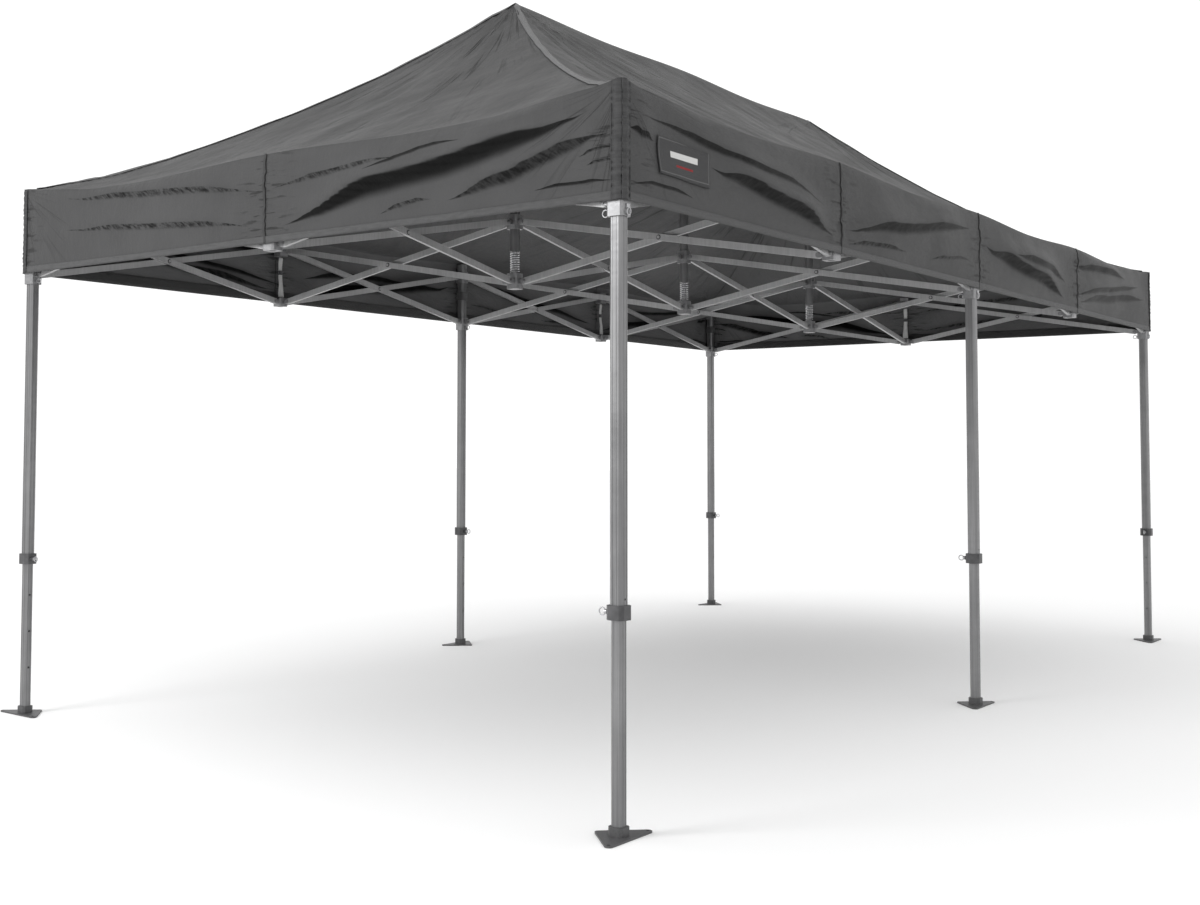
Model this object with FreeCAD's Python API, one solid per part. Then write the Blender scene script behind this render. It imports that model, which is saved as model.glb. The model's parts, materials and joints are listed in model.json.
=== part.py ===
import FreeCAD, Part
import math
import os
from FreeCAD import Vector

# Folding pop-up canopy, 3 m by 6 m: six telescoping legs, a scissor frame of
# 44 bars between upper and lower hubs, three sprung ridge posts and a fabric
# canopy. Millimetres, +Z up, +X along the long side, origin on the floor in
# the middle of the footprint.

# ---- driving dimensions --------------------------------------------------
BAY = 1500.0            # distance between neighbouring hubs
COLUMNS = 5             # hub columns along X
ROWS = 3                # hub rows along Y
UPPER_PIVOT_Z = 2165.0  # pivots of the upper hubs
LOWER_PIVOT_Z = 1900.0  # pivots of the lower hubs, frame open
CLAMP_Z = 664.0         # middle of the leg clamps
EAVE_Z = 2257.0         # top edge of the valance
VALANCE_Z = 1900.0      # bottom edge of the valance
RING_Z = 2600.0         # roof height half way up the hips
RIDGE_Z = 3165.0        # ridge, level between the outer posts

# legs
LEG_SIDE = 45.0
LEG_CHAMFER = 9.0
LEG_WALL = 3.0
LEG_PLAY = 0.4          # gap between the two tubes of a leg
LEG_TOP_Z = 2135.0
LOWER_LEG_TOP_Z = 1350.0
LOWER_LEG_FOOT_Z = 14.0
GROOVE_WIDTH = 2.0
GROOVE_DEPTH = 0.8
GROOVE_OFFSET = 7.0
HOLE_PITCH = 155.0      # height steps of a leg
HOLES_BELOW = 3
HOLES_ABOVE = 2

# hubs
PIVOT_OUT = 46.0        # hub centre to bar pivot
BAR_OFFSET = 8.0        # bar middle to the hub's centre plane
HUB_SIDE = 57.0
HUB_CHAMFER = 7.0
UPPER_HUB_UP = 35.0
UPPER_HUB_DOWN = 30.0
POST_HUB_UP = 36.0
POST_HUB_DOWN = 34.0
SIDE_HUB_UP = 18.0
SIDE_HUB_DOWN = 24.0
SLIDER_UP = 26.0
SLIDER_DOWN = 46.0
SLIDER_PLAY = 0.5
LIGHTENING_BORE_R = 14.0
CHEEK = 4.0             # thickness of a fork cheek
CHEEK_R = 10.0
CHEEK_ROOT = 26.0       # where a cheek leaves the hub block
FORK_PLAY = 0.5
CAP_SIDE = 48.0
CAP_HEIGHT = 43.0

# bars
BAR_DEPTH = 28.0
BAR_THICK = 14.0
BAR_WALL = 1.5
PLUG_LENGTH = 30.0
BOLT_R = 4.0
BOLT_PLAY = 0.08
HEAD_R = 6.5
HEAD_HEIGHT = 3.0
HEAD_GAP = 0.3
SPACER_R = 8.0
SPACER_HALF = 0.7

# ridge posts and their springs
POST_R = 23.0
POST_WALL = 2.0
POST_PLAY = 0.6
POST_TOP_Z = 3112.0
POST_CAP = 16.0
POST_FOOT = 4.0
GUIDE_R = 12.0
GUIDE_LENGTH = 245.0
SPRING_HEIGHT = 98.0
SPRING_WIRE_R = 2.4
SPRING_COIL_R = 19.5
SPRING_TURNS = 9

# clamps, lock pins, feet
CLAMP_SIDE = 62.0
CLAMP_CHAMFER = 12.0
CLAMP_HEIGHT = 44.0
BOSS_R = 9.0
BOSS_LENGTH = 9.0
PIN_R = 4.0
PIN_HOLE_R = 4.3
KNOB_R = 7.5
KNOB_LENGTH = 8.0
RING_R = 11.0
RING_WIRE_R = 2.0
SLIDER_PIN_DROP = 32.0
BUTTON_HOLE_R = 3.5
BUTTON_HOLE_UP = 40.0
PLATE_THICK = 6.0
PLATE_HALF_EDGE = 108.0
PLATE_EDGE_OUT = 34.0
PLATE_DEPTH = 104.0
PLATE_CORNER_R = 13.0
PEG_HOLE_R = 6.0
FOOT_CAP_SIDE = 52.0
FOOT_CAP_HEIGHT = 28.0

# canopy
CANOPY_OVERHANG = 35.0
FABRIC = 1.5

# ---- derived ---------------------------------------------------------------
HALF_LENGTH = BAY * (COLUMNS - 1) / 2
HALF_WIDTH = BAY * (ROWS - 1) / 2
BAR_RUN = BAY - 2 * PIVOT_OUT
BAR_RISE = UPPER_PIVOT_Z - LOWER_PIVOT_Z
BAR_LENGTH = math.hypot(BAR_RUN, BAR_RISE)
BAR_ANGLE = math.degrees(math.atan2(BAR_RISE, BAR_RUN))
LEG_COLUMNS = (0, 2, 4)
LEG_ROWS = (0, 2)
POST_COLUMNS = (1, 2, 3)
MIDDLE_ROW = 1
INNER_SIDE = LEG_SIDE - 2 * LEG_WALL
CORNER_LOSS = 2 - math.sqrt(2)
INNER_CHAMFER = LEG_CHAMFER - LEG_WALL * CORNER_LOSS
LOWER_SIDE = INNER_SIDE - 2 * LEG_PLAY
LOWER_CHAMFER = INNER_CHAMFER
LOWER_INNER = LOWER_SIDE - 2 * LEG_WALL
SPRING_FOOT_Z = LOWER_PIVOT_Z + POST_HUB_UP
POST_FOOT_Z = SPRING_FOOT_Z + SPRING_HEIGHT

Z_AXIS = Vector(0, 0, 1)
ORIGIN = Vector(0, 0, 0)


def node_xy(column, row):
    """Plan position of a hub."""
    return column * BAY - HALF_LENGTH, row * BAY - HALF_WIDTH


def box(x0, x1, y0, y1, z0, z1):
    return Part.makeBox(x1 - x0, y1 - y0, z1 - z0, Vector(x0, y0, z0))


def octagon_face(side, chamfer, z):
    """A square face with its corners cut off, centred on the Z axis."""
    half = side / 2
    near = half - chamfer
    points = [(half, -near), (half, near), (near, half), (-near, half)]
    points += [(-x, -y) for x, y in points]
    corners = [Vector(x, y, z) for x, y in points]
    return Part.Face(Part.makePolygon(corners + corners[:1]))


def octagon_prism(side, chamfer, z0, z1):
    return octagon_face(side, chamfer, z0).extrude(Vector(0, 0, z1 - z0))


def turned(shape, degrees):
    """A copy turned about the Z axis."""
    copy = shape.copy()
    copy.rotate(ORIGIN, Z_AXIS, degrees)
    return copy


def moved(shape, x, y, z=0.0):
    copy = shape.copy()
    copy.translate(Vector(x, y, z))
    return copy


def side_hole(radius, reach_from, reach_to, z):
    """A cutter along +X between two distances from the Z axis."""
    start = Vector(reach_from, 0, z)
    return Part.makeCylinder(radius, reach_to - reach_from, start, Vector(1, 0, 0))


def save(name, solids):
    """Write one sub-part as one STEP of separate solids."""
    shape = solids[0] if len(solids) == 1 else Part.makeCompound(solids)
    shape.exportStep("parts/" + name + ".step")


# ---- legs ------------------------------------------------------------------
def leg_tube(side, chamfer, inner_side, inner_chamfer, z0, z1):
    """Extruded leg tube with two shallow grooves down each flat side."""
    face = octagon_face(side, chamfer, z0)
    for turn in range(4):
        for offset in (-GROOVE_OFFSET, GROOVE_OFFSET):
            low = offset - GROOVE_WIDTH / 2
            plane = Part.makePlane(
                GROOVE_DEPTH * 2, GROOVE_WIDTH, Vector(side / 2 - GROOVE_DEPTH, low, z0)
            )
            face = face.cut(turned(plane, 90 * turn))
    face = face.cut(octagon_face(inner_side, inner_chamfer, z0))
    return face.extrude(Vector(0, 0, z1 - z0)).Solids[0]


def upper_leg(pin_turn, outer_turn):
    """Upper tube, with the lock pin's hole and a small hole above the clamp."""
    tube = leg_tube(LEG_SIDE, LEG_CHAMFER, INNER_SIDE, INNER_CHAMFER,
                    CLAMP_Z - CLAMP_HEIGHT / 2, LEG_TOP_Z)
    pin_hole = side_hole(PIN_HOLE_R, 0, LEG_SIDE, CLAMP_Z)
    button_hole = side_hole(BUTTON_HOLE_R, 0, LEG_SIDE, CLAMP_Z + BUTTON_HOLE_UP)
    tube = tube.cut(turned(pin_hole, pin_turn))
    return tube.cut(turned(button_hole, outer_turn)).Solids[0]


def lower_leg(pin_turn):
    """Lower tube with a row of height holes under its lock pin."""
    tube = leg_tube(LOWER_SIDE, LOWER_CHAMFER, LOWER_INNER, LOWER_CHAMFER - 2,
                    LOWER_LEG_FOOT_Z, LOWER_LEG_TOP_Z)
    for step in range(-HOLES_BELOW, HOLES_ABOVE + 1):
        hole = side_hole(PIN_HOLE_R, 0, LEG_SIDE, CLAMP_Z + step * HOLE_PITCH)
        tube = tube.cut(turned(hole, pin_turn))
    return tube.Solids[0]


def leg_clamp(pin_turn):
    """Collar round the bottom of the upper leg, with a boss for its pin."""
    low, high = CLAMP_Z - CLAMP_HEIGHT / 2, CLAMP_Z + CLAMP_HEIGHT / 2
    collar = octagon_prism(CLAMP_SIDE, CLAMP_CHAMFER, low, high)
    boss = side_hole(BOSS_R, CLAMP_SIDE / 2 - 1, CLAMP_SIDE / 2 + BOSS_LENGTH, CLAMP_Z)
    collar = collar.fuse(turned(boss, pin_turn)).removeSplitter()
    collar = collar.cut(octagon_prism(LEG_SIDE, LEG_CHAMFER, low, high))
    bore = side_hole(PIN_HOLE_R, 0, 2 * CLAMP_SIDE, CLAMP_Z)
    return collar.cut(turned(bore, pin_turn)).Solids[0]


def pull_pin(tip, shoulder, z, turn):
    """Lock pin with a knob and a finger ring, pointing out along +X."""
    shaft = side_hole(PIN_R, tip, shoulder + KNOB_LENGTH, z)
    knob = side_hole(KNOB_R, shoulder, shoulder + KNOB_LENGTH, z)
    centre = Vector(shoulder + KNOB_LENGTH + RING_R - RING_WIRE_R, 0, z)
    ring = Part.makeTorus(RING_R, RING_WIRE_R, centre, Vector(0, 1, 0))
    return turned(shaft.fuse([knob, ring]).removeSplitter(), turn)


def leg_pin(turn):
    tip = INNER_SIDE / 2 + 0.5
    return pull_pin(tip, CLAMP_SIDE / 2 + BOSS_LENGTH + 1, CLAMP_Z, turn)


def slider_pin(turn):
    tip = LEG_SIDE / 2 + SLIDER_PLAY + 0.5
    return pull_pin(tip, HUB_SIDE / 2 + 1, LOWER_PIVOT_Z - SLIDER_PIN_DROP, turn)


def foot(turn):
    """Triangular peg plate, its long edge on the +X side, and an end cap."""
    corners = [
        Vector(PLATE_EDGE_OUT, -PLATE_HALF_EDGE, 0),
        Vector(PLATE_EDGE_OUT, PLATE_HALF_EDGE, 0),
        Vector(PLATE_EDGE_OUT - PLATE_DEPTH, 0, 0),
    ]
    outline = Part.makePolygon(corners + corners[:1])
    plate = Part.Face(outline.makeOffset2D(PLATE_CORNER_R))
    plate = plate.extrude(Vector(0, 0, PLATE_THICK))
    for corner in corners[:2]:
        plate = plate.cut(Part.makeCylinder(PEG_HOLE_R, PLATE_THICK, corner))
    cap_top = PLATE_THICK + FOOT_CAP_HEIGHT
    cap = octagon_prism(FOOT_CAP_SIDE, LEG_CHAMFER, PLATE_THICK, cap_top)
    cap = cap.cut(octagon_prism(LOWER_SIDE, LOWER_CHAMFER, LOWER_LEG_FOOT_Z, cap_top))
    return [turned(plate.Solids[0], turn), turned(cap.Solids[0], turn)]


# ---- hubs ------------------------------------------------------------------
def hub_block(low, high, bore):
    block = octagon_prism(HUB_SIDE, HUB_CHAMFER, low, high)
    return block.cut(bore)


def fork(turn, offset, z):
    """Two cheeks that hold one bar end, on the hub's side at this turn."""
    inner = BAR_THICK / 2 + FORK_PLAY
    cheeks = []
    for side in (-inner - CHEEK, inner):
        low = offset + side
        cheek = box(CHEEK_ROOT, PIVOT_OUT, low, low + CHEEK, z - CHEEK_R, z + CHEEK_R)
        nose = Part.makeCylinder(
            CHEEK_R, CHEEK, Vector(PIVOT_OUT, low, z), Vector(0, 1, 0)
        )
        hole = Part.makeCylinder(
            BOLT_R, CHEEK, Vector(PIVOT_OUT, low, z), Vector(0, 1, 0)
        )
        cheeks.append(turned(cheek.fuse(nose).removeSplitter().cut(hole), turn))
    return cheeks


def fork_bolt(turn, offset, z, through):
    """Bolt of a fork. An opened pivot keeps a short stud in each cheek."""
    half = BAR_THICK / 2 + FORK_PLAY + CHEEK
    start = Vector(PIVOT_OUT, offset - half, z)
    along = Vector(0, 1, 0)
    low_head = Part.makeCylinder(
        HEAD_R, HEAD_HEIGHT, start - Vector(0, HEAD_HEIGHT, 0), along
    )
    end = Vector(PIVOT_OUT, offset + half, z)
    high_head = Part.makeCylinder(HEAD_R, HEAD_HEIGHT, end, along)
    if through:
        shank = Part.makeCylinder(BOLT_R, 2 * half, start, along)
        pieces = [shank.fuse([low_head, high_head])]
    else:
        low_stud = Part.makeCylinder(BOLT_R, CHEEK, start, along)
        high_stud = Part.makeCylinder(BOLT_R, CHEEK, end - Vector(0, CHEEK, 0), along)
        pieces = [low_head.fuse(low_stud), high_head.fuse(high_stud)]
    return [turned(piece.removeSplitter(), turn) for piece in pieces]


def arm_turns(column, row):
    """Turns about Z of the hub sides that carry a bar."""
    turns = []
    if column < COLUMNS - 1:
        turns.append(0)
    if row < ROWS - 1:
        turns.append(90)
    if column > 0:
        turns.append(180)
    if row > 0:
        turns.append(270)
    return turns


def is_leg(column, row):
    return column in LEG_COLUMNS and row in LEG_ROWS


def is_post(column, row):
    return column in POST_COLUMNS and row == MIDDLE_ROW


def upper_hub(column, row):
    """Upper hub: block, forks open downwards, bolts, and a leg's top cap."""
    z = UPPER_PIVOT_Z
    low, high = z - UPPER_HUB_DOWN, z + UPPER_HUB_UP
    bore_r = POST_R + POST_PLAY if is_post(column, row) else LIGHTENING_BORE_R
    bore = Part.makeCylinder(bore_r, high - low, Vector(0, 0, low))
    body = hub_block(low, high, bore)
    bolts = []
    for turn in arm_turns(column, row):
        body = body.fuse(fork(turn, -BAR_OFFSET, z))
        bolts += fork_bolt(turn, -BAR_OFFSET, z, True)
    solids = [body.removeSplitter().Solids[0]] + bolts
    if is_leg(column, row):
        solids.append(octagon_prism(CAP_SIDE, LEG_CHAMFER, high, high + CAP_HEIGHT))
    return [moved(solid, *node_xy(column, row)) for solid in solids]


def lower_hub(column, row):
    """Lower hub. On a leg it is a slider, under a post it has a guide rod."""
    z = LOWER_PIVOT_Z
    if is_leg(column, row):
        low, high = z - SLIDER_DOWN, z + SLIDER_UP
        bore_side = LEG_SIDE + 2 * SLIDER_PLAY
        bore = octagon_prism(bore_side, LEG_CHAMFER, low, high)
        pin_hole = side_hole(PIN_HOLE_R, 0, HUB_SIDE, z - SLIDER_PIN_DROP)
        bore = bore.fuse(turned(pin_hole, inner_turn(row)))
    elif is_post(column, row):
        low, high = z - POST_HUB_DOWN, z + POST_HUB_UP
        bore = Part.makeCylinder(GUIDE_R, high - low, Vector(0, 0, low))
    else:
        low, high = z - SIDE_HUB_DOWN, z + SIDE_HUB_UP
        bore = Part.makeCylinder(LIGHTENING_BORE_R, high - low, Vector(0, 0, low))
    body = hub_block(low, high, bore)
    bolts = []
    for turn in arm_turns(column, row):
        body = body.fuse(fork(turn, BAR_OFFSET, z))
        along_length = turn in (0, 180)
        bolts += fork_bolt(turn, BAR_OFFSET, z, along_length)
    solids = [body.removeSplitter().Solids[0]] + bolts
    if is_post(column, row):
        solids.append(Part.makeCylinder(GUIDE_R, GUIDE_LENGTH, Vector(0, 0, low)))
    return [moved(solid, *node_xy(column, row)) for solid in solids]


# ---- bars ------------------------------------------------------------------
def bar(offset, with_bolt):
    """One bar along +X from its first pivot, its middle plane at Y = offset."""
    side = offset - BAR_THICK / 2
    half = BAR_DEPTH / 2
    across = Vector(0, 1, 0)
    hole_r = BOLT_R + BOLT_PLAY
    tube = box(PLUG_LENGTH, BAR_LENGTH - PLUG_LENGTH, side, side + BAR_THICK, -half, half)
    tube = tube.cut(box(0, BAR_LENGTH, side + BAR_WALL, side + BAR_THICK - BAR_WALL,
                        -half + BAR_WALL, half - BAR_WALL))
    middle = Vector(BAR_LENGTH / 2, side, 0)
    tube = tube.cut(Part.makeCylinder(hole_r, BAR_THICK, middle, across))
    solids = [tube.Solids[0]]
    for pivot, inward in ((0.0, PLUG_LENGTH), (BAR_LENGTH, BAR_LENGTH - PLUG_LENGTH)):
        plug = box(min(pivot, inward), max(pivot, inward),
                   side, side + BAR_THICK, -half, half)
        eye = Vector(pivot, side, 0)
        plug = plug.fuse(Part.makeCylinder(half, BAR_THICK, eye, across))
        plug = plug.removeSplitter()
        solids.append(plug.cut(Part.makeCylinder(hole_r, BAR_THICK, eye, across)).Solids[0])
    if with_bolt:
        solids.append(crossing_bolt())
    return solids


def crossing_bolt():
    """Bolt through the middle of a crossing pair, with a spacer between them."""
    reach = BAR_OFFSET + BAR_THICK / 2 + HEAD_GAP
    across = Vector(0, 1, 0)
    x = BAR_LENGTH / 2
    shank = Part.makeCylinder(BOLT_R, 2 * reach, Vector(x, -reach, 0), across)
    spacer = Part.makeCylinder(
        SPACER_R, 2 * SPACER_HALF, Vector(x, -SPACER_HALF, 0), across
    )
    heads = [
        Part.makeCylinder(HEAD_R, HEAD_HEIGHT, Vector(x, reach, 0), across),
        Part.makeCylinder(HEAD_R, HEAD_HEIGHT, Vector(x, -reach - HEAD_HEIGHT, 0), across),
    ]
    return shank.fuse([spacer] + heads).removeSplitter()


def placed_bar(column, row, falling, turn):
    """A bar leaving the hub at (column, row), along X or turned along Y."""
    solids = bar(-BAR_OFFSET if falling else BAR_OFFSET, falling)
    height = UPPER_PIVOT_Z if falling else LOWER_PIVOT_Z
    tilt = BAR_ANGLE if falling else -BAR_ANGLE
    done = []
    for solid in solids:
        solid = solid.copy()
        solid.rotate(ORIGIN, Vector(0, 1, 0), tilt)
        solid = turned(moved(solid, PIVOT_OUT, 0, height), turn)
        done.append(moved(solid, *node_xy(column, row)))
    return done


# ---- ridge posts -----------------------------------------------------------
def ridge_post():
    """Post tube that stands on its spring, with a foot washer and a top cap."""
    foot_z = POST_FOOT_Z
    tube = Part.makeCylinder(POST_R, POST_TOP_Z - foot_z, Vector(0, 0, foot_z))
    inner = Part.makeCylinder(
        POST_R - POST_WALL, POST_TOP_Z - foot_z, Vector(0, 0, foot_z + POST_FOOT)
    )
    hole = Part.makeCylinder(GUIDE_R + POST_PLAY, POST_FOOT, Vector(0, 0, foot_z))
    cap = Part.makeCylinder(POST_R, POST_CAP, Vector(0, 0, POST_TOP_Z))
    cap = cap.makeChamfer(POST_CAP / 3, [cap.Edges[0]])
    return [tube.cut([inner, hole]).Solids[0], cap]


def post_spring():
    """Round-wire coil that stands on the lower hub, round the guide rod."""
    low = SPRING_FOOT_Z + SPRING_WIRE_R
    height = SPRING_HEIGHT - 2 * SPRING_WIRE_R
    helix = Part.makeHelix(height / SPRING_TURNS, height, SPRING_COIL_R)
    start = Vector(SPRING_COIL_R, 0, 0)
    circle = Part.makeCircle(SPRING_WIRE_R, start, Vector(0, 1, 0))
    coil = Part.Wire(helix).makePipeShell([Part.Wire(circle)], True, True)
    return moved(coil, 0, 0, low)


# ---- canopy ----------------------------------------------------------------
def rectangle(half_x, half_y, z):
    return [Vector(x, y, z) for x, y in
            ((-half_x, -half_y), (half_x, -half_y), (half_x, half_y), (-half_x, half_y))]


def roof_panel(corners):
    """A flat fabric panel: its outline, made solid straight downwards."""
    face = Part.Face(Part.makePolygon(corners + corners[:1]))
    return face.extrude(Vector(0, 0, -FABRIC))


def canopy():
    """Hip roof in two bands of flat panels, and four valance walls."""
    half_x = HALF_LENGTH + CANOPY_OVERHANG
    half_y = HALF_WIDTH + CANOPY_OVERHANG
    ridge_x = HALF_LENGTH - BAY
    eave = rectangle(half_x, half_y, EAVE_Z)
    ring = rectangle((half_x + ridge_x) / 2, half_y / 2, RING_Z)
    ridge = [Vector(x, 0, RIDGE_Z) for x in (-ridge_x, ridge_x, ridge_x, -ridge_x)]
    panels = []
    for side in range(4):
        after = (side + 1) % 4
        panels.append(roof_panel([eave[side], eave[after], ring[after], ring[side]]))
        top = [ridge[after], ridge[side]]
        if side % 2:
            top = top[:1]
        panels.append(roof_panel([ring[side], ring[after]] + top))
    top_z = EAVE_Z - FABRIC
    for sign in (-1, 1):
        outer, inner = sorted((sign * half_y, sign * (half_y - FABRIC)))
        panels.append(box(-half_x, half_x, outer, inner, VALANCE_Z, top_z))
        outer, inner = sorted((sign * half_x, sign * (half_x - FABRIC)))
        end_y = half_y - FABRIC
        panels.append(box(outer, inner, -end_y, end_y, VALANCE_Z, top_z))
    return panels


# ---- where each leg's pin and foot point -----------------------------------
def inner_turn(row):
    """Turn from +X to the side that faces the middle of the tent."""
    return 90 if row == 0 else 270


def outer_turn(row):
    return 270 if row == 0 else 90


def pin_turn(column, row):
    """The near right-hand corner leg has its pin on the -X side."""
    if column == COLUMNS - 1 and row == 0:
        return 180
    return inner_turn(row)


def foot_turn(column, row):
    """The far left-hand corner foot has its long edge on the -X side."""
    if column == 0 and row == ROWS - 1:
        return 180
    return outer_turn(row)


def main():
    os.makedirs("parts", exist_ok=True)
    for column in range(COLUMNS):
        name = "column_%d_" % (column + 1)
        upper, lower, cross = [], [], []
        for row in range(ROWS):
            upper += upper_hub(column, row)
            lower += lower_hub(column, row)
        for row in range(ROWS - 1):
            cross += placed_bar(column, row, True, 90)
            cross += placed_bar(column, row, False, 90)
        save(name + "upper_hubs", upper)
        save(name + "lower_hubs", lower)
        save(name + "cross_bars", cross)

    for bay in range(COLUMNS - 1):
        for falling, word in ((True, "falling"), (False, "rising")):
            bars = []
            for row in range(ROWS):
                bars += placed_bar(bay, row, falling, 0)
            save("bay_%d_%s_bars" % (bay + 1, word), bars)

    for column in LEG_COLUMNS:
        tubes, clamps = [], []
        for row, word in zip(LEG_ROWS, ("near", "far")):
            x, y = node_xy(column, row)
            turn = pin_turn(column, row)
            tubes.append(moved(upper_leg(turn, outer_turn(row)), x, y))
            clamps.append(moved(leg_clamp(turn), x, y))
            name = "_%d_%s" % (column + 1, word)
            save("lower_leg" + name, [moved(lower_leg(turn), x, y)])
            feet = [moved(piece, x, y) for piece in foot(foot_turn(column, row))]
            save("foot" + name, feet)
            save("leg_pin" + name, [moved(leg_pin(turn), x, y)])
            save("slider_pin" + name, [moved(slider_pin(inner_turn(row)), x, y)])
        save("column_%d_upper_legs" % (column + 1), tubes)
        save("column_%d_leg_clamps" % (column + 1), clamps)

    for column in POST_COLUMNS:
        x, y = node_xy(column, MIDDLE_ROW)
        post = [moved(piece, x, y) for piece in ridge_post()]
        save("ridge_post_%d" % (column + 1), post)
        save("post_spring_%d" % (column + 1), [moved(post_spring(), x, y)])

    save("canopy", canopy())


main()
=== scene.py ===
"""The looks of a 3 by 6 m folding pop-up canopy: its fabric cover, trim, straps and finishes."""

import json
import math

import bmesh
import bpy
import numpy as np
from mathutils import Euler, Matrix, Vector


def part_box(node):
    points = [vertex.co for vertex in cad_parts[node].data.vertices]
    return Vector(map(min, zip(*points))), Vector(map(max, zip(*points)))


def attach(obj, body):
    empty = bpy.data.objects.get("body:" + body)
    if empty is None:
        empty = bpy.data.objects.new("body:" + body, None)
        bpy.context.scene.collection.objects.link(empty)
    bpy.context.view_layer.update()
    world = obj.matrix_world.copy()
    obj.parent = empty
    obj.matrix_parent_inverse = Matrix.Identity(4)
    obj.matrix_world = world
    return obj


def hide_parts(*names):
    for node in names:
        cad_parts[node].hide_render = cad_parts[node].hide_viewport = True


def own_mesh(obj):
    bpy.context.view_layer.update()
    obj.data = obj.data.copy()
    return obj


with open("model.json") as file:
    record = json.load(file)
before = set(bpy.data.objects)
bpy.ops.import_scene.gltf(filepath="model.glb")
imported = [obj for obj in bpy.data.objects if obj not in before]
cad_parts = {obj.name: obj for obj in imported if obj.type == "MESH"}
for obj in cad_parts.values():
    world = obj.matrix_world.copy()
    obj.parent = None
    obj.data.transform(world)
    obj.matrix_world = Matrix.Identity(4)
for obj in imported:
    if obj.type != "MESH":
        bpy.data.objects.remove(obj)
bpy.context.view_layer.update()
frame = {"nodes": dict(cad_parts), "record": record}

# ---- driving sizes, metres --------------------------------------------------
COVER_LOW, COVER_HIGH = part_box("canopy")
HALF_X = COVER_HIGH.x
HALF_Y = COVER_HIGH.y
HEM_Z = COVER_LOW.z
RIDGE_Z = COVER_HIGH.z
DROP = 0.357
EAVE_Z = HEM_Z + DROP
RIDGE_HALF = HALF_X - HALF_Y
SLOPE_SAG = 0.45
FABRIC = 0.0012
CORNER_CUT = 0.016
HAIR = 1e-6
BAY = 1.5
HEM_DEPTH = 0.028
CORNER_TIP = 0.013
CROSSING_Z = 2.0325
WASHER_RADIUS = 0.0085
COLUMN_X = [BAY * k for k in (-2, -1, 0, 1, 2)]
SIDE_ROWS = {"near": -BAY, "far": BAY}
LEG_COLUMNS = (1, 3, 5)

# the trim: the width of a hip's felled seam, and how far the piping lies beside a hip
HIP_SEAM = 0.027
PIPING_OFF = 0.0105

# cells of the cover's grid
SLOPE_CELLS = 61
RIDGE_CELLS = 120
DROP_CELLS = 20


# ---- shapes shared by the fabric -------------------------------------------
def ease(t):
    """0 below 0, 1 above 1, smooth between."""
    t = np.clip(t, 0, 1)
    return t * t * (3 - 2 * t)


def ripple(a, b, size, seed):
    """An uneven smooth wave over two coordinates, about -1 to 1, of that typical wavelength."""
    rng = np.random.default_rng(seed)
    total = 0
    for _ in range(6):
        heading, phase = rng.uniform(0, 2 * math.pi, 2)
        wave = size * rng.uniform(0.6, 1.7)
        forward = a * math.cos(heading) + b * math.sin(heading)
        total = total + np.sin(forward * 2 * math.pi / wave + phase)
    return total / 3.5


def fan(x, y, centre, waves, reach, seed):
    """Pleats that spread out from a point and die away over reach."""
    dx, dy = x - centre[0], y - centre[1]
    away = np.hypot(dx, dy)
    turn = np.arctan2(dy, dx)
    rng = np.random.default_rng(seed)
    total = 0
    for k in range(5):
        total = total + np.cos(turn * round(waves * rng.uniform(0.6, 1.5)) + rng.uniform(0, 6.28))
    return total / 3 * ease(away / 0.12) * np.exp(-away / reach)


def tension_line(x, y, start, end, width):
    """A soft raised line of cloth pulled tight between two points."""
    span = np.subtract(end, start)
    length = math.hypot(*span)
    along = ((x - start[0]) * span[0] + (y - start[1]) * span[1]) / length**2
    off = ((x - start[0]) * span[1] - (y - start[1]) * span[0]) / length
    return np.exp(-((off / width) ** 2)) * ease(along * 5) * ease((1 - along) * 5)


def eave_dip(x, y):
    """How far the eave hangs below its corners, between the hubs that hold it."""
    short_side = HALF_X - np.abs(x) < HALF_Y - np.abs(y)
    along = np.where(short_side, y, x)
    half = np.where(short_side, HALF_Y, HALF_X)
    from_corner = half - np.abs(along)
    scallop = 0.5 - 0.5 * np.cos(2 * math.pi * along / BAY)
    level = np.where(short_side, 0.026, 0.008)
    return ease(from_corner / 0.5) * (level + 0.018 * scallop)


def roof_height(x, y):
    """Height of the cover's outer face over a point of the plan."""
    tx = (HALF_X - np.abs(x)) / HALF_Y
    ty = (HALF_Y - np.abs(y)) / HALF_Y
    t = np.minimum(tx, ty)
    z = EAVE_Z + (RIDGE_Z - EAVE_Z) * t - SLOPE_SAG * t * (1 - t)
    z = z - eave_dip(x, y) * (1 - ease(t / 0.35))
    ridge = ease((t - 0.75) / 0.25) * (np.abs(x) < RIDGE_HALF)
    z = z - 0.014 * ridge * np.sin(math.pi * x / BAY) ** 2
    corner_gap = np.hypot(HALF_X - np.abs(x), HALF_Y - np.abs(y))
    z = z + CORNER_TIP * np.exp(-((corner_gap / 0.06) ** 2))
    away = ease(t / 0.08) * ease((1 - t) / 0.04)
    z = z + 0.009 * away * fan(x, y, (-RIDGE_HALF, 0), 26, 0.42, 3)
    z = z + 0.009 * away * fan(x, y, (RIDGE_HALF, 0), 26, 0.42, 4)
    z = z + 0.005 * away * fan(x, y, (0, 0), 16, 0.35, 5)
    for k, (cx, cy) in enumerate(EAVE_HOLDS):
        z = z + 0.006 * away * fan(x, y, (cx, cy), 22, 0.38, 10 + k)
    for start, end in TENSION_LINES:
        z = z + 0.007 * away * tension_line(x, y, start, end, 0.035)
    z = z + 0.005 * away * ripple(x, y, 0.9, 30)
    return z + 0.0022 * away * ripple(x * 2.2 + y, y * 0.7 - x, 0.32, 31)


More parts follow.
